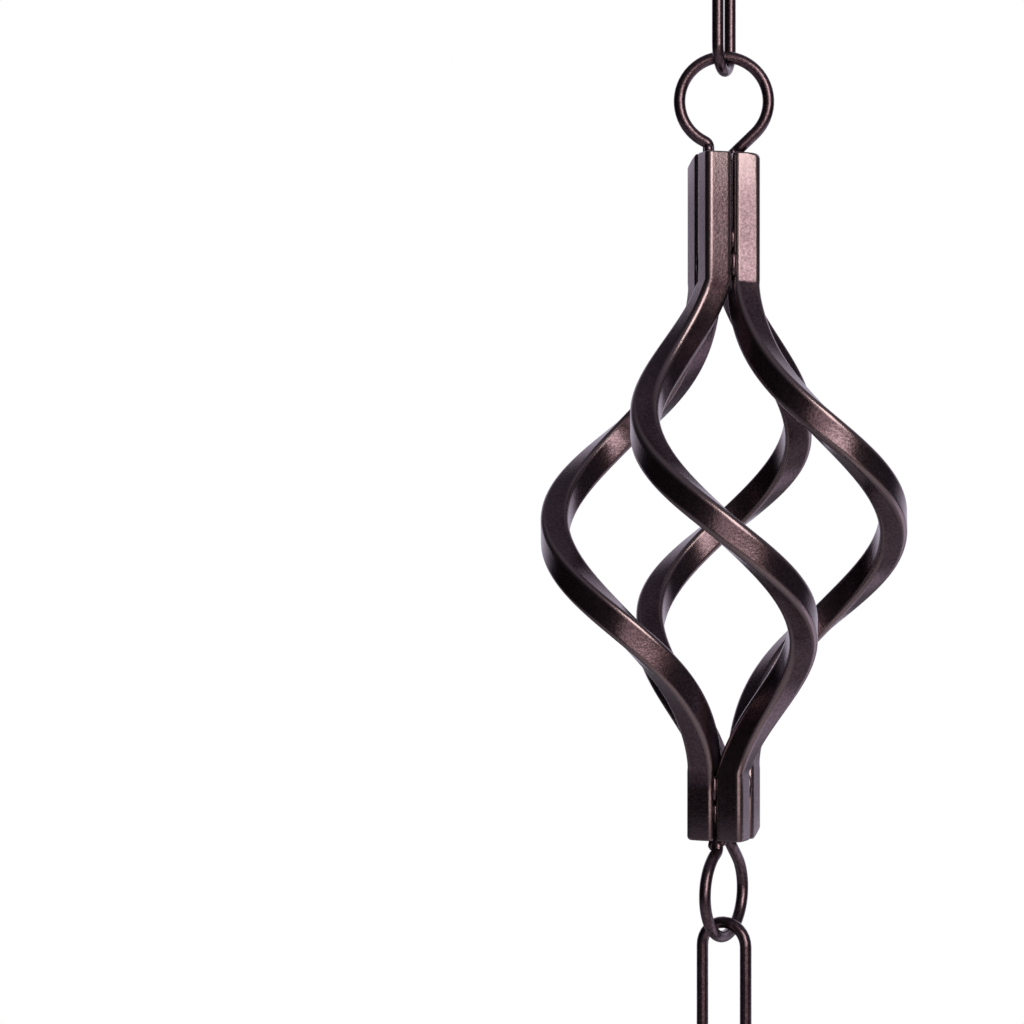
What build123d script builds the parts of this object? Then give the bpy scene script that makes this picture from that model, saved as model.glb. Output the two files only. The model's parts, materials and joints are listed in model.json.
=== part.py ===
from build123d import *
import math
import os

# Rain chain: a round-wire S hook, thirteen square-bar twisted cages joined by pairs of wire links,
# and a slim turned drop on a ring. It hangs down -Z from the top of the hook's inside, at the origin.
# Front is -Y. Sizes are millimetres, angles are degrees, azimuths run anticlockwise from +X.

# Whole chain
CAGE_COUNT = 13
SEAT_GAP = 0.3  # air between a hung piece and the wire that carries it
EVEN_CAGE_AZIMUTH = 0.0
ODD_CAGE_AZIMUTH = 45.0

# Square bars of a cage
CAGE_WIDTH = 49.8  # 1.96 in over the widest part of the bars
BARS_PER_CAGE = 4
BAR = 3.8  # side of the square bar
BAR_GAP = 0.4  # between neighbouring bars in a neck
LONG_NECK = 17.3
SHORT_NECK = 9.3
BASKET_LENGTH = 66.4  # from neck to neck
END_CHAMFER = 0.8  # ground off the outer corners of the bars' ends
BULGE_POWER = 1.7  # how full the basket is: the power of a half sine wave
SWING = 98.6  # angle of half a bar round the axis, if it ran on evenly to the neck
NECK_SWING = 24.2  # angle that is left of it where the bar joins the neck
SWING_POWER = 4.2  # how late the bar swings back to the neck
SECTION_TURN = 135.0  # turn of the square section from the middle to a neck
SECTION_POWER = 1.4  # how late the section turns
BASKET_SPANS = 16  # between the sections along a bar
SLOPE_STEP = 0.01  # part of half a basket that a bar's direction is taken over

# Wire eyes welded to the necks
EYE_WIRE = 1.6
EYE_OUTER = 13.7
EYE_REACH = 14.1  # from the neck's end to the far side of the eye
EYE_LEGS = 3.7  # between the centres of the two legs
EYE_BEND = 1.2  # inner corner between the ring and a leg, to the wire's centre
EYE_SKEW = 65.0  # turn of the short neck's eye from the long neck's eye

# Wire links between cages
LINK_WIRE = 1.6
LINK_INSIDE = 35.35
LINK_WIDTH = 8.0

# Top link
TOP_LINK_WIRE = 2.0
TOP_LINK_INSIDE = 25.0
TOP_LINK_WIDTH = 15.0
TOP_LINK_AZIMUTH = 45.0

# S hook
HOOK_WIRE = 2.4
HOOK_MOUTH = 13.0  # inside diameter of the upper, open end
HOOK_LOOP = 8.0  # inside diameter of the lower end, closed round the top link
HOOK_CENTRES = 46.0  # between the centres of the two ends
HOOK_WRAP = 190.0  # arc of the upper end
LOOP_WRAP = 320.0  # arc of the lower end
HOOK_AZIMUTH = -30.0

# Tail link and ring
TAIL_TURN = 90.0  # from one tail piece to the next
TAIL_LINK_INSIDE = 24.65
RING_WIRE = 2.0
RING_OUTER = 20.0

# Turned drop, from the top down: head, rod, bead and tapered foot, with thin necks between them
DROP_HEAD = 9.0
DROP_HEAD_LENGTH = 14.5
DROP_TAB = 2.4  # thickness of the flattened part of the head
DROP_TAB_LENGTH = 8.5
DROP_HOLE = 4.5
DROP_HOLE_RIM = 2.0  # metal above the hole
DROP_NECK = 3.0
DROP_UPPER_NECK = 4.0  # long
DROP_MIDDLE_NECK = 7.0  # long
DROP_LOWER_NECK = 10.0  # long
DROP_ROD = 6.0
DROP_ROD_LENGTH = 21.0
DROP_BEAD = 8.5
DROP_BEAD_LENGTH = 12.0
DROP_FOOT = 6.0
DROP_FOOT_LENGTH = 51.2
DROP_TIP = 2.4
DROP_EDGE = 0.6  # rounding of the turned edges

# Worked-out sizes
BARS_LENGTH = LONG_NECK + BASKET_LENGTH + SHORT_NECK
BASKET_MIDDLE = (SHORT_NECK - LONG_NECK) / 2
NECK_RADIUS = (BAR + BAR_GAP) / math.sqrt(2)  # from the cage's axis to a bar's centre
NECK_CORNER = NECK_RADIUS + BAR / math.sqrt(2)
BULGE_RADIUS = (CAGE_WIDTH - BAR) / 2
CAGE_INSIDE = BARS_LENGTH + 2 * (EYE_REACH - EYE_WIRE)  # 4.6 in, to the nearest tenth, inside the eyes
HOOK_INSIDE = HOOK_MOUTH / 2 + HOOK_CENTRES + HOOK_LOOP / 2
RING_INSIDE = RING_OUTER - 2 * RING_WIRE


def polar(radius, angle, z=0.0):
    return Vector(radius * math.cos(math.radians(angle)), radius * math.sin(math.radians(angle)), z)


# A cage's bars. height runs from 1 at the long neck, through 0 in the middle, to -1 at the short one.
def bar_centre(height):
    half_wave = math.sin(math.pi * (1 - abs(height)) / 2)
    radius = NECK_RADIUS + (BULGE_RADIUS - NECK_RADIUS) * half_wave**BULGE_POWER
    swing_back = (SWING - NECK_SWING) * math.copysign(abs(height) ** SWING_POWER, height)
    return polar(radius, swing_back - SWING * height, BASKET_MIDDLE + height * BASKET_LENGTH / 2)


def bar_section(height):
    """The bar's square section: a flat faces outward in the middle, and a corner does in the necks."""
    centre = bar_centre(height)
    if abs(height) == 1:
        along = Vector(0, 0, -1)
    else:
        along = (bar_centre(height - SLOPE_STEP) - bar_centre(height + SLOPE_STEP)).normalized()
    outward = Vector(centre.X, centre.Y, 0)
    outward = outward - along * outward.dot(along)
    turn = SECTION_TURN * math.copysign(abs(height) ** SECTION_POWER, height)
    across = Plane(origin=centre, x_dir=outward, z_dir=along)
    return across * (Rot(Z=turn) * Rectangle(BAR, BAR))


def neck(end, length):
    """One bar's straight end; end is 1 for the long neck and -1 for the short one."""
    straight = extrude(bar_section(end), amount=length, dir=(0, 0, end))
    grind = Cylinder(NECK_CORNER, length)
    ground_edge = grind.edges().sort_by(Axis.Z)[-1]
    grind = chamfer(ground_edge, END_CHAMFER)
    if end < 0:
        grind = Rot(X=180) * grind
    return straight & (Pos(Z=end * (BARS_LENGTH - length) / 2) * grind)


def cage_bars():
    spans = range(BASKET_SPANS + 1)
    basket = loft([bar_section(1 - 2 * i / BASKET_SPANS) for i in spans])
    bar = basket + neck(1, LONG_NECK) + neck(-1, SHORT_NECK)
    return [Rot(Z=360 * i / BARS_PER_CAGE) * bar for i in range(BARS_PER_CAGE)]


# Bent wire. Each path is a list of lines and arcs in the XZ plane, and the wire is drawn along it.
def wire_along(path, diameter):
    upright = Rot(X=90) * Wire([edge for piece in path for edge in piece.edges()])
    across = Plane(origin=upright @ 0, z_dir=upright % 0)
    return sweep(across * Circle(diameter / 2), path=upright)


def eye():
    """An open ring with two short legs; the legs end on z = 0, where the bars' ends are."""
    ring_radius = (EYE_OUTER - EYE_WIRE) / 2
    ring_height = EYE_REACH - EYE_OUTER / 2
    leg = EYE_LEGS / 2
    reach = ring_radius + EYE_BEND
    drop = math.sqrt(reach**2 - (leg + EYE_BEND) ** 2)
    lean = math.degrees(math.acos(drop / reach))  # angle of the bend's end from straight down
    bend_height = ring_height - drop
    path = [
        Line((-leg, 0), (-leg, bend_height)),
        CenterArc((-leg - EYE_BEND, bend_height), EYE_BEND, 0, 90 - lean),
        CenterArc((0, ring_height), ring_radius, 270 - lean, 2 * lean - 360),
        CenterArc((leg + EYE_BEND, bend_height), EYE_BEND, 90 + lean, 90 - lean),
        Line((leg, bend_height), (leg, 0)),
    ]
    return wire_along(path, EYE_WIRE)


def cage_eyes():
    upper = Pos(Z=BARS_LENGTH / 2) * eye()
    lower = Rot(Z=EYE_SKEW) * Pos(Z=-BARS_LENGTH / 2) * Rot(X=180) * eye()
    return [upper, lower]


def link(inside, width, wire):
    """A closed oval link, with its inside top at z = 0."""
    bend = (width - wire) / 2
    straight = inside + wire - 2 * bend
    half_ring = revolve(Pos(X=bend) * Circle(wire / 2), Axis.Y, 180)
    side = Pos(Z=-straight / 2) * Cylinder(wire / 2, straight)
    upper = Rot(Y=180) * half_ring
    lower = Pos(Z=-straight) * half_ring
    loop = upper + lower + Pos(X=bend) * side + Pos(X=-bend) * side
    return Pos(Z=-bend + wire / 2) * loop


def ring():
    radius = (RING_OUTER - RING_WIRE) / 2
    return Pos(Z=RING_WIRE / 2 - radius) * Rot(X=90) * Torus(radius, RING_WIRE / 2)


def s_hook():
    """Two arcs on one upright line, the upper open and the lower closed, and the slanted shank that
    is tangent to both."""
    upper_radius = (HOOK_MOUTH + HOOK_WIRE) / 2
    lower_radius = (HOOK_LOOP + HOOK_WIRE) / 2
    upper_height = -HOOK_MOUTH / 2
    lower_height = upper_height - HOOK_CENTRES
    lean = math.degrees(math.asin((upper_radius + lower_radius) / HOOK_CENTRES))
    upper = CenterArc((0, upper_height), upper_radius, -lean + HOOK_WRAP, -HOOK_WRAP)
    lower = CenterArc((0, lower_height), lower_radius, 180 - lean, LOOP_WRAP)
    shank = Line(upper @ 1, lower @ 0)
    return wire_along([upper, shank, lower], HOOK_WIRE)


def turned(top, bottom, length):
    """One run of the drop with rounded edges, from z = 0 down."""
    outline = Polyline((0, 0), (top / 2, 0), (bottom / 2, -length), (0, -length), close=True)
    face = make_face(outline)
    rims = [corner for corner in face.vertices() if corner.X > 0]
    return revolve(Rot(X=90) * fillet(rims, DROP_EDGE), Axis.Z)


def bead(width, length):
    """A round bead with flat ends, from z = 0 down."""
    end = DROP_NECK / 2
    swell = ThreePointArc((end, 0), (width / 2, -length / 2), (end, -length))
    outline = [swell, Line(swell @ 1, (0, -length)), Line((0, -length), (0, 0)), Line((0, 0), swell @ 0)]
    return revolve(Rot(X=90) * make_face(outline), Axis.Z)


def drop():
    """A turned weight. Its head is flattened to a tab, with a hole through it whose top is at z = 0."""
    runs = [
        (turned(DROP_HEAD, DROP_HEAD, DROP_HEAD_LENGTH), DROP_HEAD_LENGTH),
        (None, DROP_UPPER_NECK),
        (turned(DROP_ROD, DROP_ROD, DROP_ROD_LENGTH), DROP_ROD_LENGTH),
        (None, DROP_MIDDLE_NECK),
        (bead(DROP_BEAD, DROP_BEAD_LENGTH), DROP_BEAD_LENGTH),
        (None, DROP_LOWER_NECK),
        (turned(DROP_FOOT, DROP_TIP, DROP_FOOT_LENGTH), DROP_FOOT_LENGTH),
    ]
    top = DROP_HOLE_RIM
    necks_top = top - DROP_HEAD_LENGTH / 2
    necks_length = sum(length for _, length in runs[1:-1]) + DROP_HEAD_LENGTH / 2 + DROP_EDGE
    body = Pos(Z=necks_top - necks_length / 2) * Cylinder(DROP_NECK / 2, necks_length)
    for shape, length in runs:
        if shape is not None:
            body += Pos(Z=top) * shape
        top -= length
    flat = Box(2 * DROP_HEAD, 2 * DROP_HEAD, 2 * DROP_TAB_LENGTH)
    side = DROP_TAB / 2 + DROP_HEAD
    tab_top = Pos(Z=DROP_HOLE_RIM)
    hole = Pos(Z=-DROP_HOLE / 2) * Rot(X=90) * Cylinder(DROP_HOLE / 2, 2 * DROP_HEAD)
    return body - tab_top * Pos(Y=side) * flat - tab_top * Pos(Y=-side) * flat - hole


# The chain from the top down: name, inside length, wire, azimuths of its upper and lower loops.
def between(upper, lower):
    """Equal turns from one loop's azimuth to the next cage's, over two links and three seats."""
    return ((lower - upper) % 180 + 180) / 3


def chain():
    loops = [
        ("hanger", HOOK_INSIDE, HOOK_WIRE, HOOK_AZIMUTH, HOOK_AZIMUTH),
        ("top_link", TOP_LINK_INSIDE, TOP_LINK_WIRE, TOP_LINK_AZIMUTH, TOP_LINK_AZIMUTH),
    ]
    for number in range(1, CAGE_COUNT + 1):
        if number % 2:
            upper, lower = ODD_CAGE_AZIMUTH - EYE_SKEW, ODD_CAGE_AZIMUTH
            after = EVEN_CAGE_AZIMUTH
        else:
            upper, lower = EVEN_CAGE_AZIMUTH, EVEN_CAGE_AZIMUTH + EYE_SKEW
            after = ODD_CAGE_AZIMUTH - EYE_SKEW
        loops.append((f"cage_{number:02d}", CAGE_INSIDE, EYE_WIRE, upper, lower))
        if number < CAGE_COUNT:
            turn = between(lower, after)
            loops.append((f"link_{number:02d}_upper", LINK_INSIDE, LINK_WIRE, lower + turn, lower + turn))
            turn = 2 * turn
            loops.append((f"link_{number:02d}_lower", LINK_INSIDE, LINK_WIRE, lower + turn, lower + turn))
    tail = loops[-1][4]
    tail_pieces = [
        ("tail_link_upper", LINK_INSIDE, LINK_WIRE),
        ("tail_link_lower", TAIL_LINK_INSIDE, LINK_WIRE),
        ("tail_ring", RING_INSIDE, RING_WIRE),
        ("drop", 0.0, 0.0),
    ]
    for name, inside, wire in tail_pieces:
        tail += TAIL_TURN
        loops.append((name, inside, wire, tail, tail))
    return loops


def save(name, solids, place):
    export_step(Compound(children=[place * solid for solid in solids]), f"parts/{name}.step")


def build():
    os.makedirs("parts", exist_ok=True)
    bars = cage_bars()
    eyes = cage_eyes()
    long_link = link(LINK_INSIDE, LINK_WIDTH, LINK_WIRE)
    shapes = {
        "hanger": s_hook(),
        "top_link": link(TOP_LINK_INSIDE, TOP_LINK_WIDTH, TOP_LINK_WIRE),
        "tail_link_lower": link(TAIL_LINK_INSIDE, LINK_WIDTH, LINK_WIRE),
        "tail_ring": ring(),
        "drop": drop(),
    }
    inside_top = 0.0
    for name, inside, wire, upper, lower in chain():
        if name.startswith("cage"):
            odd = int(name[-2:]) % 2
            middle = Pos(Z=inside_top - inside / 2) * Rot(Z=lower if odd else upper)
            place = middle * Rot(X=180) if odd else middle
            save(f"{name}_bars", bars, place)
            save(f"{name}_eyes", eyes, place)
        else:
            save(name, [shapes.get(name, long_link)], Pos(Z=inside_top) * Rot(Z=upper))
        print(f"{name} top {inside_top:.3f} azimuth {upper:.3f} lower azimuth {lower:.3f}"
              f" seat {inside_top - inside - wire / 2:.3f}")
        inside_top += SEAT_GAP - inside


if __name__ == "__main__":
    build()
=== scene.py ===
"""Looks of a rain chain: coated bars with rounded edges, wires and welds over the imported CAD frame. Its S hook
and drop keep their CAD shape and are only coated."""

import json
import math

import bpy
import numpy as np
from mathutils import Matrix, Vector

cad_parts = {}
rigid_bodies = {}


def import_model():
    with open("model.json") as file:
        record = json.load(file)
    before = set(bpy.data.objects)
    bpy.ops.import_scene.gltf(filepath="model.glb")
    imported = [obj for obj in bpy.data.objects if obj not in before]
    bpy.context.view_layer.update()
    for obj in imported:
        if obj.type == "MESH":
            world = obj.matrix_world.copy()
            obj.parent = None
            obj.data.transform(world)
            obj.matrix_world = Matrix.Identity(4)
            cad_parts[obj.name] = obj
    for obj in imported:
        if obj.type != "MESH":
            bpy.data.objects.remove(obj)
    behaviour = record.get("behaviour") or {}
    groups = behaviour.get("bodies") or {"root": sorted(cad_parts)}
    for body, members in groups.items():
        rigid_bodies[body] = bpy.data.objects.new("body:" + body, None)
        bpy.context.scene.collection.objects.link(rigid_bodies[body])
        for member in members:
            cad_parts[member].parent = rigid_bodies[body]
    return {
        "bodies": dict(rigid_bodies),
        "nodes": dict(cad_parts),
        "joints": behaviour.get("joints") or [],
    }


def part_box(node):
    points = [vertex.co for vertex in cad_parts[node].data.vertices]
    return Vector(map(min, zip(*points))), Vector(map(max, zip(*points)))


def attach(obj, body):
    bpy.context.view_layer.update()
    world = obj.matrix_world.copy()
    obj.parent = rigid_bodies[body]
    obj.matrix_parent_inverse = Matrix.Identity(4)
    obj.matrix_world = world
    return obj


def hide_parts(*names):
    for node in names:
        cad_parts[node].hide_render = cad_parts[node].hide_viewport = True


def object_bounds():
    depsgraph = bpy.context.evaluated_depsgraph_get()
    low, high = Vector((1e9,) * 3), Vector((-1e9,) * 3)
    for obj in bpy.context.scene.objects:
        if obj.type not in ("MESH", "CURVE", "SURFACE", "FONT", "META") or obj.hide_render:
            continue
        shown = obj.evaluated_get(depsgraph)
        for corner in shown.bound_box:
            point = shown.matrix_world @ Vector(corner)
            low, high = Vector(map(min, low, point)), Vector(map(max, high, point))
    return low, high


bl_info = {
    "name": "Rain chain looks",
    "version": (1, 0, 0),
    "blender": (4, 5, 0),
    "location": "View3D > Sidebar > Rain chain",
    "description": "Dresses a hanging rain chain of twisted square-bar cages and wire links",
    "category": "Object",
}

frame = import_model()
CAD_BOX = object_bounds()

MM = 0.001
UP = np.array([0.0, 0.0, 1.0])
COAT = "speckled_bronze"

# Degrees from the eye at the long neck to the eye at the short one.
EYE_TURN = 65

# Outside width and wire diameter in mm, of the two wide links and of all others.
WIDE_LINKS = {"top_link": (15.0, 2.0), "tail_ring": (20.0, 2.0)}
CHAIN_LINK = (8.0, 1.6)

# Each lamp's name, azimuth and rise in degrees, distance, width and height in metres, radiance and colour.
LAMPS = [
    ("key", 297, 17, 3.0, 1.5, 1.8, 5.8, (1.0, 0.95, 0.86)),
    ("warm_edge", 290, 10, 3.1, 3.2, 3.0, 0.5, (1.0, 0.6, 0.55)),
    ("side_glow", 271, -2, 3.0, 1.0, 0.8, 1.3, (1.0, 0.94, 0.9)),
    ("low_fill", 25, -35, 1.5, 1.2, 1.2, 0.8, (0.9, 0.82, 1.0)),
]
SENSOR = 36

# Half the floor's side in metres, and how much paler it is where the camera sees it.
FLOOR_HALF = 6
FLOOR_GLOW = (0.38, 0.38, 0.38)


# Settings

def length(name, description, default, **limits):
    """A size in millimetres, kept in metres as Blender keeps its lengths."""
    return bpy.props.FloatProperty(name=name, description=description, default=default * MM, unit="LENGTH",
                                   precision=5, **limits)


def tint(name, description, default):
    return bpy.props.FloatVectorProperty(name=name, description=description, default=default, size=3,
                                         subtype="COLOR", min=0.0, max=1.0)


def amount(name, description, default, **limits):
    return bpy.props.FloatProperty(name=name, description=description, default=default, **limits)


class ChainSizes(bpy.types.PropertyGroup):
    bar: length("Bar", "Side of the square bar", 3.8)
    bar_gap: length("Bar gap", "Air between neighbouring bars in a neck", 0.4)
    bar_rounding: length("Bar rounding", "Radius of the bar's four long edges", 0.7)
    bar_end_rounding: length("Bar end rounding", "Radius round a bar's ground end", 0.25)
    bulge: length("Basket radius", "From the cage's axis to a bar's centre at the widest", 23.0)
    long_neck: length("Long neck", "Straight length of the bars at the long neck", 17.3)
    short_neck: length("Short neck", "Straight length of the bars at the short neck", 9.3)
    basket: length("Basket", "From neck to neck", 66.4)
    eye_wire: length("Eye wire", "Diameter of the wire of an eye", 1.6)
    eye_outer: length("Eye", "Outside diameter of an eye", 13.7)
    eye_reach: length("Eye reach", "From the bars' ends to the far side of an eye", 14.1)
    near_leg: length("Near leg", "From an eye's middle to the centre of its straight leg", 2.1)
    far_leg: length("Far leg", "From an eye's middle to the centre of its slanted leg", 1.2)
    eye_bend: length("Eye bend", "Radius of the bend between the ring and the straight leg", 0.9)
    weld: length("Weld", "Half the width of a weld bead in a groove", 0.42)


class CoatColours(bpy.types.PropertyGroup):
    bronze: tint("Bronze", "The coat's own colour", (0.075, 0.053, 0.064))
    flake: tint("Flake", "Metal flakes in the coat", (0.19, 0.135, 0.155))
    # Paler colour on the edges: partly rubbed coat, partly a painted highlight along the rounded edges.
    rubbed_and_highlit_edge: tint("Worn edge", "Where the coat is rubbed thin on edges", (0.26, 0.21, 0.22))
    flake_size: length("Flake size", "Width of a flake of the speckle", 0.36)
    roughness: amount("Roughness", "How dull the coat is", 0.24, min=0.0, max=1.0)


class StageSettings(bpy.types.PropertyGroup):
    cage: bpy.props.StringProperty(name="Cage", description="Body that the camera looks at", default="cage_06")
    distance: length("Distance", "From the camera to the chain's axis", 381.0)
    field: length("Field", "Width of the picture at the chain's axis", 139.3)
    drop: length("Drop", "How far the camera is below the middle of the bars", 2.1)
    aside: amount("Aside", "How far right of the middle the chain hangs, as a part of the picture", 0.207)
    floor: tint("Floor", "Plain pale floor", (0.8, 0.8, 0.8))
    room: tint("Room", "Light from around the chain", (0.88, 0.82, 0.98))
    floor_gap: length("Floor gap", "Air under the drop's tip", 20.0)


# Surfaces

class Skin:
    """Vertices and faces of one piece, gathered from closed surfaces."""

    def __init__(self):
        self.points, self.faces, self.corners, self.total = [], [], [], 0

    def tube(self, grid, edge=None, loop=False):
        """A closed surface from a grid of points, rows along it and columns round it. Neighbouring rows and
        columns make quads. Unless it is a loop, each end is closed by triangles to the end row's mean. The
        columns run the way round that makes the sum of p . (along x round), three times the volume, positive."""
        edge = np.zeros(grid.shape[:2]) if edge is None else edge
        along = np.roll(grid, -1, 0) - grid if loop else np.diff(grid, axis=0, append=grid[-1:])
        around = np.roll(grid, -1, 1) - grid
        if np.sum((grid - grid.mean((0, 1))) * np.cross(around, along)) < 0:
            grid, edge = grid[:, ::-1], edge[:, ::-1]
        rows, columns = grid.shape[:2]
        i = np.arange(rows if loop else rows - 1)[:, None]
        j = np.arange(columns)[None, :]
        here, there = i * columns, (i + 1) % rows * columns
        beside = (j + 1) % columns
        quads = np.stack([here + j, here + beside, there + beside, there + j], -1).reshape(-1, 4)
        points = [grid.reshape(-1, 3)]
        parts = [quads + self.total]
        marks = [edge.reshape(-1)]
        if not loop:
            points.append(np.stack([grid[0].mean(0), grid[-1].mean(0)]))
            marks.append(np.zeros(2))
            j = j[0]
            beside = beside[0]
            first, last = rows * columns, rows * columns + 1
            foot = (rows - 1) * columns
            parts.append(np.stack([np.full(columns, first), beside, j], -1) + self.total)
            parts.append(np.stack([np.full(columns, last), foot + j, foot + beside], -1) + self.total)
        self.points += points
        self.corners += marks
        self.faces += parts
        self.total += sum(len(p) for p in points)

    def piece(self, name, body, nodes, coat):
        """Makes the mesh with its vertices in place, and hands it to its CAD body."""
        points = np.concatenate(self.points)
        mesh = bpy.data.meshes.new(name)
        mesh.from_pydata(points, [], [f for part in self.faces for f in part.tolist()])
        mesh.polygons.foreach_set("use_smooth", np.ones(len(mesh.polygons), bool))
        corner = mesh.attributes.new("corner", "FLOAT", "POINT")
        corner.data.foreach_set("value", np.concatenate(self.corners).astype(np.float32))
        mesh.materials.append(coat)
        mesh.update()
        made = bpy.data.objects.new(name, mesh)
        bpy.context.scene.collection.objects.link(made)
        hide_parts(*nodes)
        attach(made, body)


def turned_about_z(points, degrees):
    """x and y turned anticlockwise by an angle: (x cos - y sin, x sin + y cos)."""
    c, s = math.cos(math.radians(degrees)), math.sin(math.radians(degrees))
    return points @ np.array([[c, s, 0], [-s, c, 0], [0, 0, 1]])


def mm(*sizes):
    """Sizes in millimetres, as metres."""
    return np.array(sizes) * MM


def unit(vectors):
    """Each vector over its own length."""
    return vectors / np.linalg.norm(vectors, axis=-1, keepdims=True)


# Bars

# How the four bars of a cage differ, as bent and ground by hand. First for the long and the short neck: the
# section's own turn in degrees, the height ground off the outer corner in mm, and the power that rounds that
# corner. Last, the radius of the bar's long edges against the others'.
HAND_WORK = [
    ((5.0, 0.0), (1.3, 1.6), (2.4, 1.0), 1.1),
    ((-1.0, -1.5), (0.7, 0.8), (1.0, 1.4), 0.9),
    ((0.0, 1.0), (1.8, 0.9), (1.0, 2.4), 0.9),
    ((-1.3, 0.0), (0.3, 0.3), (1.0, 1.0), 1.12),
]
# Which of them is a cage's first bar: the cage's number plus this, round the list.
FIRST_BAR = 2

# A bar's way from neck to neck: angles in degrees, and powers of the height.
BULGE_POWER = 1.7
SWEEP = 98.6
SWING_BACK, SWING_POWER = 74.4, 4.2
TWIST, TWIST_POWER = 135, 1.4
OWN_TURN_POWER = 6
NECK_AZIMUTH = SWING_BACK - SWEEP

# The step of height that gives a bar's direction, and the height by a neck in which it turns upright.
STEP, UPRIGHT = 0.01, 0.05

# Rows along the bent part and along the rounding of an end. A neck's rows are at these shares of the way to
# ROW_MARGIN mm before the tip, and the rings on an end face are these mm in from its sides.
BEND_ROWS, LIP_ROWS = 97, 5
NECK_ROWS, ROW_MARGIN = (0.35, 0.7), 2
FACE_RINGS = (0.4, 0.6, 0.8, 1.0, 1.25, 1.5)

# How much each point of a side is on an edge: seven on the corner that it starts with and three on the flat.
# Then how much a point on the rounding of an end is.
# The coat is painted paler on these marks: partly rubbed coat, partly a painted highlight along the bars' edges
# and end rims.
ON_CORNER = [0.3, 0.8, 1, 1, 1, 0.8, 0.3, 0, 0, 0]
ON_LIP = 0.6

# In mm: from a corner's end to the next point on the flat, and the least radius of a corner.
FLAT_MARGIN, SHARPEST = 0.12, 0.02


def signed_power(height, power):
    """The size of the height to a power, with the height's own sign."""
    return np.copysign(np.abs(height) ** power, height)


def bar_axis(height, s):
    """Centre of a bar at heights from 1 at the long neck to -1 at the short one. The radius grows from the
    neck's as a half sine wave to BULGE_POWER. The azimuth is -SWEEP times the height, swung back by
    SWING_BACK times the height to SWING_POWER."""
    half_wave = np.sin(np.pi * (1 - np.abs(height)) / 2)
    neck = (s.bar + s.bar_gap) / math.sqrt(2)
    radius = neck + (s.bulge - neck) * half_wave**BULGE_POWER
    azimuth = np.radians(SWING_BACK * signed_power(height, SWING_POWER) - SWEEP * height)
    z = (s.short_neck - s.long_neck) / 2 + height * s.basket / 2
    return np.stack([radius * np.cos(azimuth), radius * np.sin(azimuth), z], -1)


def rounded_square(half, rounding):
    """Outline of a square with round corners, anticlockwise, and how much each point is on a corner. A corner
    is (half - rounding) along both sides plus rounding times (cos, sin)."""
    inner = half - rounding
    angle = np.linspace(0, np.pi / 2, 7)
    corner = inner + rounding * np.stack([np.cos(angle), np.sin(angle)], -1)
    beside = inner - FLAT_MARGIN * MM
    side = np.concatenate([corner, [[beside, half], [0, half], [-beside, half]]])
    turns = [(math.cos(a), math.sin(a)) for a in np.arange(4) * np.pi / 2]
    points = [side @ np.array([[c, s], [-s, c]]) for c, s in turns]
    return np.concatenate(points), np.tile(ON_CORNER, 4)


def bar(s, hand):
    """One bar from end to end: a rounded square carried along its axis. The section's first side faces away
    from the cage's axis in the middle. It turns by TWIST times the height to TWIST_POWER, plus the bar's own
    turn times the height to OWN_TURN_POWER."""
    turns, cuts, powers, edge_share = hand
    half, rounding = s.bar / 2, s.bar_rounding * edge_share
    height = np.linspace(1, -1, BEND_ROWS)
    inner = np.clip(height, STEP - 1, 1 - STEP)
    along = unit(bar_axis(inner - STEP, s) - bar_axis(inner + STEP, s))
    lean = np.clip((1 - np.abs(height)) / UPRIGHT, 0, 1)[:, None]
    along = unit(along * lean - UP * (1 - lean))
    centre = bar_axis(height, s)
    outward = centre * [1, 1, 0]
    outward = unit(outward - along * np.sum(outward * along, -1, keepdims=True))
    beside = np.cross(along, outward)
    own = np.where(height > 0, *turns) * np.abs(height) ** OWN_TURN_POWER
    turn = np.radians(TWIST * signed_power(height, TWIST_POWER) + own)[:, None]
    first = outward * np.cos(turn) + beside * np.sin(turn)
    second = beside * np.cos(turn) - outward * np.sin(turn)
    outline, corner = rounded_square(half, rounding)
    body = centre[:, None] + outline[:, 0, None] * first[:, None] + outline[:, 1, None] * second[:, None]
    edge = (s.bar + s.bar_gap) / math.sqrt(2) + half * math.sqrt(2)
    tip = (s.long_neck + s.basket + s.short_neck) / 2

    def end(row, sign, cut, power):
        """Rows from a neck's start out to the middle of its end face. The face is ground to
        z = tip - cut (d / cut) to the power, where d is how far a point is beyond the outer corner less the
        cut, and its rim is a quarter circle."""
        rows, marks = [], []
        for part in NECK_ROWS:
            straight = body[row].copy()
            straight[:, 2] += (sign * tip - straight[:, 2] - sign * ROW_MARGIN * MM) * part
            rows.append(straight)
            marks.append(corner)
        lip = s.bar_end_rounding
        quarter = np.linspace(0, np.pi / 2, LIP_ROWS)
        insets = [(lip * (1 - math.cos(a)), lip * (1 - math.sin(a))) for a in quarter]
        insets += [(inset * MM, 0) for inset in FACE_RINGS]
        for inset, down in insets:
            ring, _ = rounded_square(half - inset, max(rounding - inset, SHARPEST * MM))
            points = centre[row] + ring[:, :1] * first[row] + ring[:, 1:] * second[row]
            beyond = np.maximum(0, np.hypot(points[:, 0], points[:, 1]) - edge + cut)
            points[:, 2] = sign * tip - sign * (cut * (beyond / cut) ** power + down)
            rows.append(points)
            marks.append(np.maximum(corner, ON_LIP * (inset < lip)))
        return rows, marks

    top, top_marks = end(0, 1, cuts[0] * MM, powers[0])
    low, low_marks = end(-1, -1, cuts[1] * MM, powers[1])
    grid = np.stack(top[::-1] + list(body) + low)
    marks = np.stack(top_marks[::-1] + [corner] * len(body) + low_marks)
    return grid, marks


# Wires

# Points round a wire.
WIRE_SIDES = 16
# How far an eye's straight and slanted legs reach down between the bars, in mm.
NEAR_ROOT, FAR_ROOT = 0.5, 0.3
# Points of a path nearer than this, in metres, are one point.
SAME_POINT = 1e-6


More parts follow.
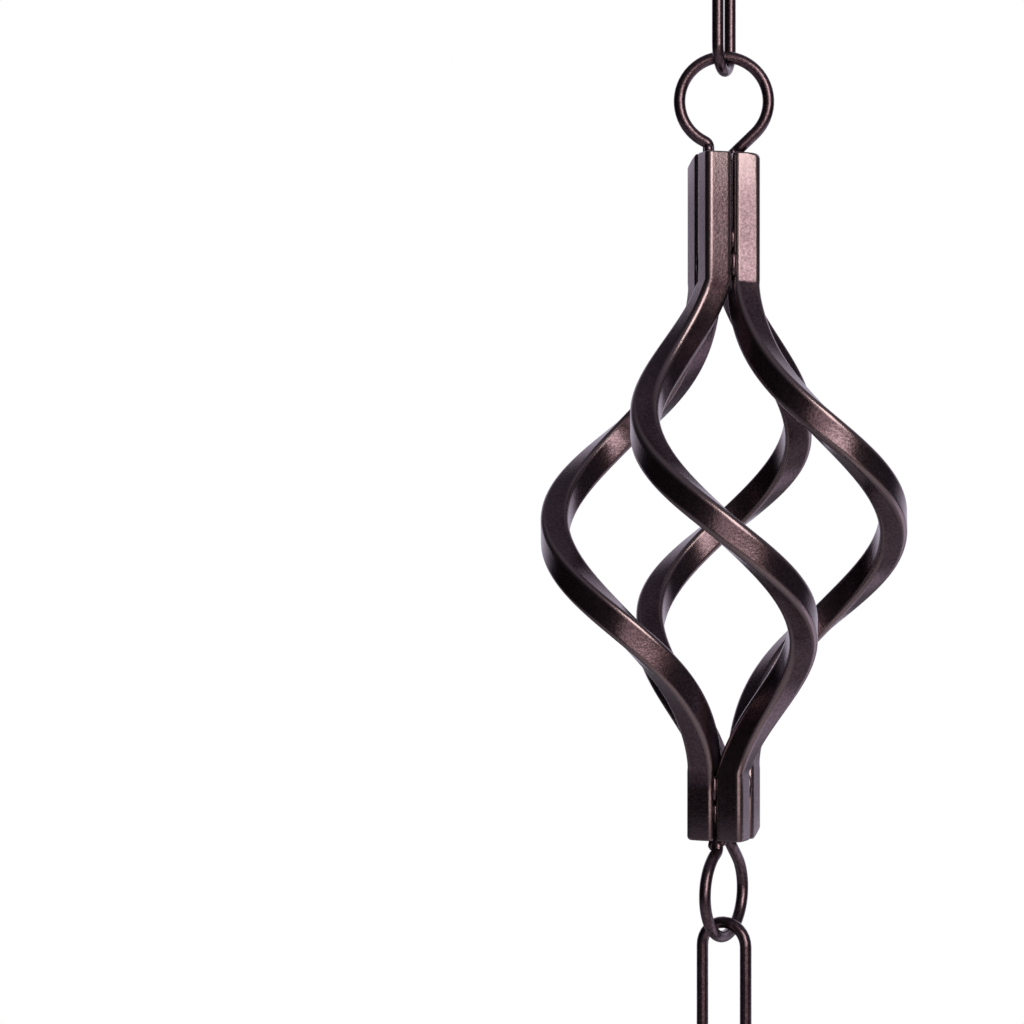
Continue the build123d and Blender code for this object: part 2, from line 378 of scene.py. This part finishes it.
def line(start, end, count=2):
    """Points of a straight line in the plane, and its direction at each."""
    part = np.linspace(0, 1, count)[:, None]
    start, end = np.array(start), np.array(end)
    return start + (end - start) * part, np.repeat(unit(end - start)[None], count, 0)


def arc(centre, radius, start, sweep, spacing=6.0):
    """Points of an arc in the plane: centre + radius (cos, sin), and its direction, the same turned by 90."""
    count = max(3, int(abs(sweep) / spacing) + 1)
    angle = np.radians(np.linspace(start, start + sweep, count))
    around = np.stack([np.cos(angle), np.sin(angle)], -1)
    ahead = np.stack([-np.sin(angle), np.cos(angle)], -1) * math.copysign(1, sweep)
    return np.array(centre) + radius * around, ahead


def wire(path, diameter):
    """Round wire along a flat path in XZ: point + radius (cos a * Y - sin a * side)."""
    points = np.concatenate([p for p, _ in path])
    ahead = np.concatenate([d for _, d in path])
    keep = np.concatenate([[True], np.linalg.norm(np.diff(points, axis=0), axis=1) > SAME_POINT])
    points, ahead = points[keep], ahead[keep]
    around = np.linspace(0, 2 * np.pi, WIRE_SIDES, endpoint=False)[None, :, None]
    centre = np.stack([points[:, 0], 0 * points[:, 0], points[:, 1]], -1)[:, None]
    side = np.stack([ahead[:, 1], 0 * ahead[:, 0], -ahead[:, 0]], -1)[:, None]
    across = np.cos(around) * np.array([0.0, 1.0, 0.0]) - np.sin(around) * side
    return centre + diameter / 2 * across


def eye(s):
    """An open ring of wire whose ends stand on the bars' ends, where z is 0. One ends in a tight bend and a
    straight leg. The other runs down along a tangent of the ring."""
    ring = (s.eye_outer - s.eye_wire) / 2
    height = s.eye_reach - s.eye_outer / 2
    reach = ring + s.eye_bend
    fall = math.sqrt(reach**2 - (s.near_leg + s.eye_bend) ** 2)
    lean = math.degrees(math.acos(fall / reach))
    bend = height - fall
    away = math.hypot(s.far_leg, height)
    slant = math.degrees(math.atan2(-height, s.far_leg) + math.acos(ring / away))
    path = [
        line((-s.near_leg, -NEAR_ROOT * MM), (-s.near_leg, bend)),
        arc((-s.near_leg - s.eye_bend, bend), s.eye_bend, 0, 90 - lean, spacing=12),
        arc((0, height), ring, 270 - lean, slant + lean - 270),
    ]
    last, ahead = path[-1][0][-1], path[-1][1][-1]
    path.append(line(last, last + ahead * (last[1] + FAR_ROOT * MM) / -ahead[1], count=3))
    return wire(path, s.eye_wire)


def bead(centre, half, turn, lumps):
    """A weld bead: an ellipsoid, half sizes times (cos b cos a, cos b sin a, sin b), whose surface is pushed in
    and out by lumps times sin(3a + 7b)."""
    b = np.radians(np.linspace(-84, 84, 9))[:, None]
    a = np.linspace(0, 2 * np.pi, 12, endpoint=False)[None, :]
    swell = 1 + lumps * np.sin(3 * a + 7 * b)
    ball = np.stack([np.cos(b) * np.cos(a), np.cos(b) * np.sin(a), np.sin(b) + 0 * a], -1) * swell[..., None]
    return turned_about_z(ball * np.array(half), turn) + np.array(centre)


def oval(inside, width, diameter):
    """A closed link with its inside top at z = 0: two half circles and two straight sides, the last of them
    without its end, which is the link's first point."""
    bend = (width - diameter) / 2
    top = diameter / 2 - bend
    low = bend - inside - diameter / 2
    points, ahead = line((bend, low), (bend, top), count=6)
    return [arc((0, top), bend, 0, 180, spacing=11), line((-bend, top), (-bend, low), count=6),
            arc((0, low), bend, 180, 180, spacing=11), (points[:-1], ahead[:-1])]


# Where things hang

def lower_azimuths():
    """Azimuth of each carrying wire: the direction of the axis that the next piece swings about."""
    return {j["parent"]: math.degrees(math.atan2(j["axis"][1], j["axis"][0])) for j in frame["joints"]}


def cages():
    """(number, body, height of the bars' middle, azimuth, flipped) of each cage, from the frame."""
    azimuths = lower_azimuths()
    for body in sorted(b for b in frame["bodies"] if b.startswith("cage_")):
        low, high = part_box(f"{body}_bars")
        flipped = int(body[-2:]) % 2 == 1
        azimuth = azimuths[body] if flipped else azimuths[body] - EYE_TURN
        yield body[-2:], body, (low[2] + high[2]) / 2, azimuth, flipped


def placed(grid, middle, azimuth, flipped=False):
    """A piece's grid where it hangs: turned upside down if flipped, then about Z, then moved up."""
    if flipped:
        grid = grid * [1, -1, -1]
    return turned_about_z(grid, azimuth) + UP * middle


# Coat

# How much of the flakes' colour and of the edges' paler colour (partly rubbed coat, partly a painted highlight)
# shows, how far the roughness varies either way, and the width in mm of the clouds in which it does.
FLAKE_SHARE, EDGE_RUB_AND_HIGHLIGHT_SHARE = 0.6, 0.75
ROUGHNESS_SPREAD, CLOUD_WIDTH = 0.03, 9


class Value:
    """A number coming out of a shader node, for writing maths as plain expressions."""

    def __init__(self, tree, socket):
        self.tree, self.socket = tree, socket

    def maths(self, operation, *others):
        return self.tree.node("ShaderNodeMath", {"operation": operation}, [self, *others])

    def __add__(self, other):
        return self.maths("ADD", other)

    def __mul__(self, other):
        return self.maths("MULTIPLY", other)

    def __sub__(self, other):
        return self.maths("SUBTRACT", other)

    def __rsub__(self, other):
        return self.tree.node("ShaderNodeMath", {"operation": "SUBTRACT"}, [other, self])

    def clamped(self):
        return self.tree.node("ShaderNodeClamp", {}, [self])

    __radd__, __rmul__ = __add__, __mul__


class Finish:
    """A material or a world under construction, with one method that adds any node."""

    def __init__(self, name="", tree=None):
        if tree is None:
            self.material = bpy.data.materials.new(name)
            self.material.use_nodes = True
            tree = self.material.node_tree
        self.nodes, self.links = tree.nodes, tree.links
        self.nodes.clear()

    def node(self, kind, settings=None, values=(), output=0):
        made = self.nodes.new(kind)
        for key, value in (settings or {}).items():
            setattr(made, key, value)
        pairs = values.items() if isinstance(values, dict) else enumerate(values)
        for key, value in pairs:
            if isinstance(value, Value):
                self.links.new(value.socket, made.inputs[key])
            else:
                made.inputs[key].default_value = value
        return Value(self, made.outputs[output])

    def mix(self, part, first, second):
        return self.node("ShaderNodeMix", {"data_type": "RGBA"}, {0: part, 6: first, 7: second}, output=2)

    def ends(self, surface, kind="Material"):
        output = self.nodes.new(f"ShaderNodeOutput{kind}")
        self.links.new(surface.socket, output.inputs[0])


def bronze_coat(c):
    """Satin dark bronze coat: a metal-like base with a fine pale speckle, paler on the edges as partly rubbed
    coat and partly a painted highlight.
    """
    f = Finish(COAT)
    place = f.node("ShaderNodeTexCoord", output=3)
    grain = f.node("ShaderNodeTexNoise", {}, {"Vector": place, "Scale": 1 / c.flake_size, "Detail": 3.0,
                                              "Roughness": 0.55})
    cloud = f.node("ShaderNodeTexNoise", {}, {"Vector": place, "Scale": 1 / (CLOUD_WIDTH * MM), "Detail": 3.0})
    flakes = f.node("ShaderNodeMapRange", {}, {"Value": grain, "From Min": 0.35, "From Max": 0.65})
    corner = f.node("ShaderNodeAttribute", {"attribute_name": "corner"}, output=2)
    speckled = f.mix(flakes * FLAKE_SHARE, (*c.bronze, 1), (*c.flake, 1))
    # Edges painted paler: partly rubbed coat, partly a painted highlight.
    colour = f.mix(corner * EDGE_RUB_AND_HIGHLIGHT_SHARE, speckled, (*c.rubbed_and_highlit_edge, 1))
    bump = f.node("ShaderNodeBump", {}, {"Height": grain + cloud * 0.4, "Strength": 0.7, "Distance": 0.03 * MM})
    surface = f.node("ShaderNodeBsdfPrincipled", {}, {
        "Base Color": colour,
        "Metallic": 0.96,
        "Roughness": cloud * (2 * ROUGHNESS_SPREAD) + (c.roughness - ROUGHNESS_SPREAD),
        "Normal": bump,
    })
    f.ends(surface)
    return f.material


def coat():
    return bpy.data.materials.get(COAT) or bronze_coat(bpy.context.scene.rain_chain_colours)


# Operators

class ChainOperator:
    bl_options = {"REGISTER", "UNDO"}


class RAINCHAIN_OT_bars(ChainOperator, bpy.types.Operator):
    """Four rounded square bars of every cage"""
    bl_idname = "rainchain.bars"
    bl_label = "Bars"

    def execute(self, context):
        bars = [bar(context.scene.rain_chain_sizes, hand) for hand in HAND_WORK]
        for number, body, middle, azimuth, flipped in cages():
            skin = Skin()
            for quarter in range(4):
                grid, marks = bars[(quarter + int(number) + FIRST_BAR) % 4]
                skin.tube(placed(turned_about_z(grid, 90 * quarter), middle, azimuth, flipped), marks)
            skin.piece(f"twisted_bars_{number}", body, [f"{body}_bars"], coat())
        return {"FINISHED"}


class RAINCHAIN_OT_eyes(ChainOperator, bpy.types.Operator):
    """Two wire eyes of every cage, and the weld beads of its necks"""
    bl_idname = "rainchain.eyes"
    bl_label = "Eyes and welds"

    def execute(self, context):
        s = context.scene.rain_chain_sizes
        half = (s.long_neck + s.basket + s.short_neck) / 2
        feet = [
            eye(s),
            bead((-s.near_leg, *mm(-0.8, 0.7)), mm(0.62, 0.55, 0.75), 0, 0.06),
            bead((s.far_leg, *mm(-0.55, 0.3)), mm(0.5, 0.5, 0.5), 30, 0.06),
            bead((-s.near_leg, *mm(0.7, 0.3)), mm(0.6, 0.5, 0.5), 60, 0.06),
        ]
        grids = [part + UP * half for part in feet]
        grids += [turned_about_z(part * [1, -1, -1], EYE_TURN) for part in grids]
        grids += self.groove_beads(s, half)
        for number, body, middle, azimuth, flipped in cages():
            skin = Skin()
            for grid in grids:
                skin.tube(placed(grid, middle, azimuth, flipped))
            skin.piece(f"wire_eyes_{number}", body, [f"{body}_eyes"], coat())
        return {"FINISHED"}

    def groove_beads(self, s, half):
        """Two beads in each groove between two bars of a neck: a long one by the basket, and beyond it a
        smaller, lumpier one that lies deeper."""
        out = s.bar_gap / 2 + s.bar - 0.45 * MM
        kinds = [(out, 2.2 * MM, (0.5 * MM, s.weld, 1.7 * MM), 0.05),
                 (out - 0.25 * MM, 5.6 * MM, mm(0.35, 0.3, 1.3), 0.16)]
        beads = []
        for sign, neck in ((1, s.long_neck), (-1, s.short_neck)):
            for quarter in range(4):
                azimuth = sign * NECK_AZIMUTH + 45 + 90 * quarter
                for reach, above, size, lumps in kinds:
                    place = np.array([reach, 0, sign * (half - neck + above)])
                    beads.append(bead(turned_about_z(place, azimuth), size, azimuth, lumps))
        return beads


class RAINCHAIN_OT_links(ChainOperator, bpy.types.Operator):
    """Oval wire links, the top link and the tail's ring"""
    bl_idname = "rainchain.links"
    bl_label = "Links"

    def execute(self, context):
        azimuths = lower_azimuths()
        for body in frame["bodies"]:
            if "link" not in body and body != "tail_ring":
                continue
            low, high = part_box(body)
            width, diameter = mm(*WIDE_LINKS.get(body, CHAIN_LINK))
            path = oval(high[2] - low[2] - 2 * diameter, width, diameter)
            skin = Skin()
            skin.tube(placed(wire(path, diameter), high[2] - diameter, azimuths[body]), loop=True)
            skin.piece(f"wire_{body}", body, [body], coat())
        return {"FINISHED"}


class RAINCHAIN_OT_ends(ChainOperator, bpy.types.Operator):
    """Finish of the S hook and the turned drop, which keep their CAD shape"""
    bl_idname = "rainchain.ends"
    bl_label = "Hook and drop"

    def execute(self, context):
        for node in ("hanger", "drop"):
            mesh = frame["nodes"][node].data
            mesh.materials.clear()
            mesh.materials.append(coat())
        return {"FINISHED"}


class RAINCHAIN_OT_stage(ChainOperator, bpy.types.Operator):
    """Pale floor, white surroundings, lamps and camera"""
    bl_idname = "rainchain.stage"
    bl_label = "Stage"

    def execute(self, context):
        scene = context.scene
        stage = scene.rain_chain_stage
        scene.view_settings.view_transform = "Standard"
        low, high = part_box(f"{stage.cage}_bars")
        middle = (low[2] + high[2]) / 2
        camera = bpy.data.cameras.new("camera")
        camera.sensor_width = SENSOR
        camera.lens = SENSOR * stage.distance / stage.field
        camera.shift_x = -stage.aside
        camera.clip_start, camera.clip_end = 0.01, 100
        eye_point = bpy.data.objects.new("camera", camera)
        eye_point.location = (0, -stage.distance, middle - stage.drop)
        eye_point.rotation_euler = (math.pi / 2, 0, 0)
        scene.collection.objects.link(eye_point)
        scene.camera = eye_point
        self.surroundings(scene)
        for lamp in LAMPS:
            self.lamp(scene, middle, *lamp)
        ground = Finish("pale_floor")
        seen = ground.node("ShaderNodeLightPath", output="Is Camera Ray")
        ground.ends(ground.node("ShaderNodeBsdfPrincipled", {}, {
            "Base Color": (*stage.floor, 1),
            "Roughness": 0.9,
            "Emission Color": ground.mix(seen, (0, 0, 0, 1), (*FLOOR_GLOW, 1)),
            "Emission Strength": 1.0,
        }))
        below = CAD_BOX[0][2] - stage.floor_gap
        mesh = bpy.data.meshes.new("floor")
        corners = [(x * FLOOR_HALF, y * FLOOR_HALF, below) for x, y in ((-1, -1), (1, -1), (1, 1), (-1, 1))]
        mesh.from_pydata(corners, [], [(0, 1, 2, 3)])
        mesh.materials.append(ground.material)
        floor = bpy.data.objects.new("floor", mesh)
        scene.collection.objects.link(floor)
        return {"FINISHED"}

    def surroundings(self, scene):
        """A white backdrop behind the chain in a dim room. The camera and glass see plain white all round, and
        a mirror sees it towards the backdrop."""
        world = scene.world or bpy.data.worlds.new("world")
        scene.world = world
        world.use_nodes = True
        w = Finish(tree=world.node_tree)
        direction = w.node("ShaderNodeTexCoord")
        ahead = w.node("ShaderNodeSeparateXYZ", {}, [direction], output=1)
        backdrop = w.node("ShaderNodeMapRange", {"interpolation_type": "SMOOTHSTEP"},
                          {"Value": ahead, "From Min": 0.45, "From Max": 0.9})
        up = w.node("ShaderNodeSeparateXYZ", {}, [direction], output=2)
        rise = w.node("ShaderNodeMapRange", {}, {"Value": up, "From Min": -0.1, "From Max": 0.8})
        right = w.node("ShaderNodeSeparateXYZ", {}, [direction], output=0)
        side = w.node("ShaderNodeMapRange", {},
                      {"Value": right, "From Min": -0.75, "From Max": -0.15, "To Min": 0.15})
        camera = w.node("ShaderNodeLightPath", output="Is Camera Ray")
        glass = w.node("ShaderNodeLightPath", output="Is Transmission Ray")
        mirror = w.node("ShaderNodeLightPath", output="Is Glossy Ray")
        seen = (camera + glass).clamped()
        white = (seen + mirror * backdrop).clamped()
        below, above, screen = 0.03, 0.2, 0.6
        level = (below + rise * above) * side + backdrop * screen
        colour = w.mix(seen, (*scene.rain_chain_stage.room, 1), (1, 1, 1, 1))
        w.ends(w.node("ShaderNodeBackground", {}, {"Color": colour, "Strength": white * (1 - level) + level}),
               "World")

    def lamp(self, scene, height, name, azimuth, rise, distance, wide, tall, radiance, colour):
        """A rectangle of even light that faces the chain's axis at a height. Its power is radiance times pi
        times its area."""
        data = bpy.data.lights.new(name, "AREA")
        data.shape = "RECTANGLE"
        data.size, data.size_y = wide, tall
        data.energy = radiance * math.pi * wide * tall
        data.color = colour
        a, e = math.radians(azimuth), math.radians(rise)
        made = bpy.data.objects.new(name, data)
        made.location = (distance * math.cos(e) * math.cos(a), distance * math.cos(e) * math.sin(a),
                         height + distance * math.sin(e))
        made.rotation_euler = (math.pi / 2 - e, 0, a + math.pi / 2)
        scene.collection.objects.link(made)


class RAINCHAIN_PT_panel(bpy.types.Panel):
    bl_label = "Rain chain"
    bl_idname = "RAINCHAIN_PT_panel"
    bl_space_type = "VIEW_3D"
    bl_region_type = "UI"
    bl_category = "Rain chain"

    def draw(self, context):
        for operator in OPERATORS:
            self.layout.operator(operator.bl_idname)
        for group in (context.scene.rain_chain_sizes, context.scene.rain_chain_colours,
                      context.scene.rain_chain_stage):
            for name in group.__annotations__:
                self.layout.prop(group, name)


OPERATORS = (RAINCHAIN_OT_bars, RAINCHAIN_OT_eyes, RAINCHAIN_OT_links, RAINCHAIN_OT_ends, RAINCHAIN_OT_stage)
CLASSES = (ChainSizes, CoatColours, StageSettings, *OPERATORS, RAINCHAIN_PT_panel)


def register():
    for cls in CLASSES:
        bpy.utils.register_class(cls)
    bpy.types.Scene.rain_chain_sizes = bpy.props.PointerProperty(type=ChainSizes)
    bpy.types.Scene.rain_chain_colours = bpy.props.PointerProperty(type=CoatColours)
    bpy.types.Scene.rain_chain_stage = bpy.props.PointerProperty(type=StageSettings)


def unregister():
    del bpy.types.Scene.rain_chain_stage
    del bpy.types.Scene.rain_chain_colours
    del bpy.types.Scene.rain_chain_sizes
    for cls in reversed(CLASSES):
        bpy.utils.unregister_class(cls)


def main():
    register()
    bpy.ops.rainchain.bars()
    bpy.ops.rainchain.eyes()
    bpy.ops.rainchain.links()
    bpy.ops.rainchain.ends()
    bpy.ops.rainchain.stage()


if __name__ == "__main__":
    main()
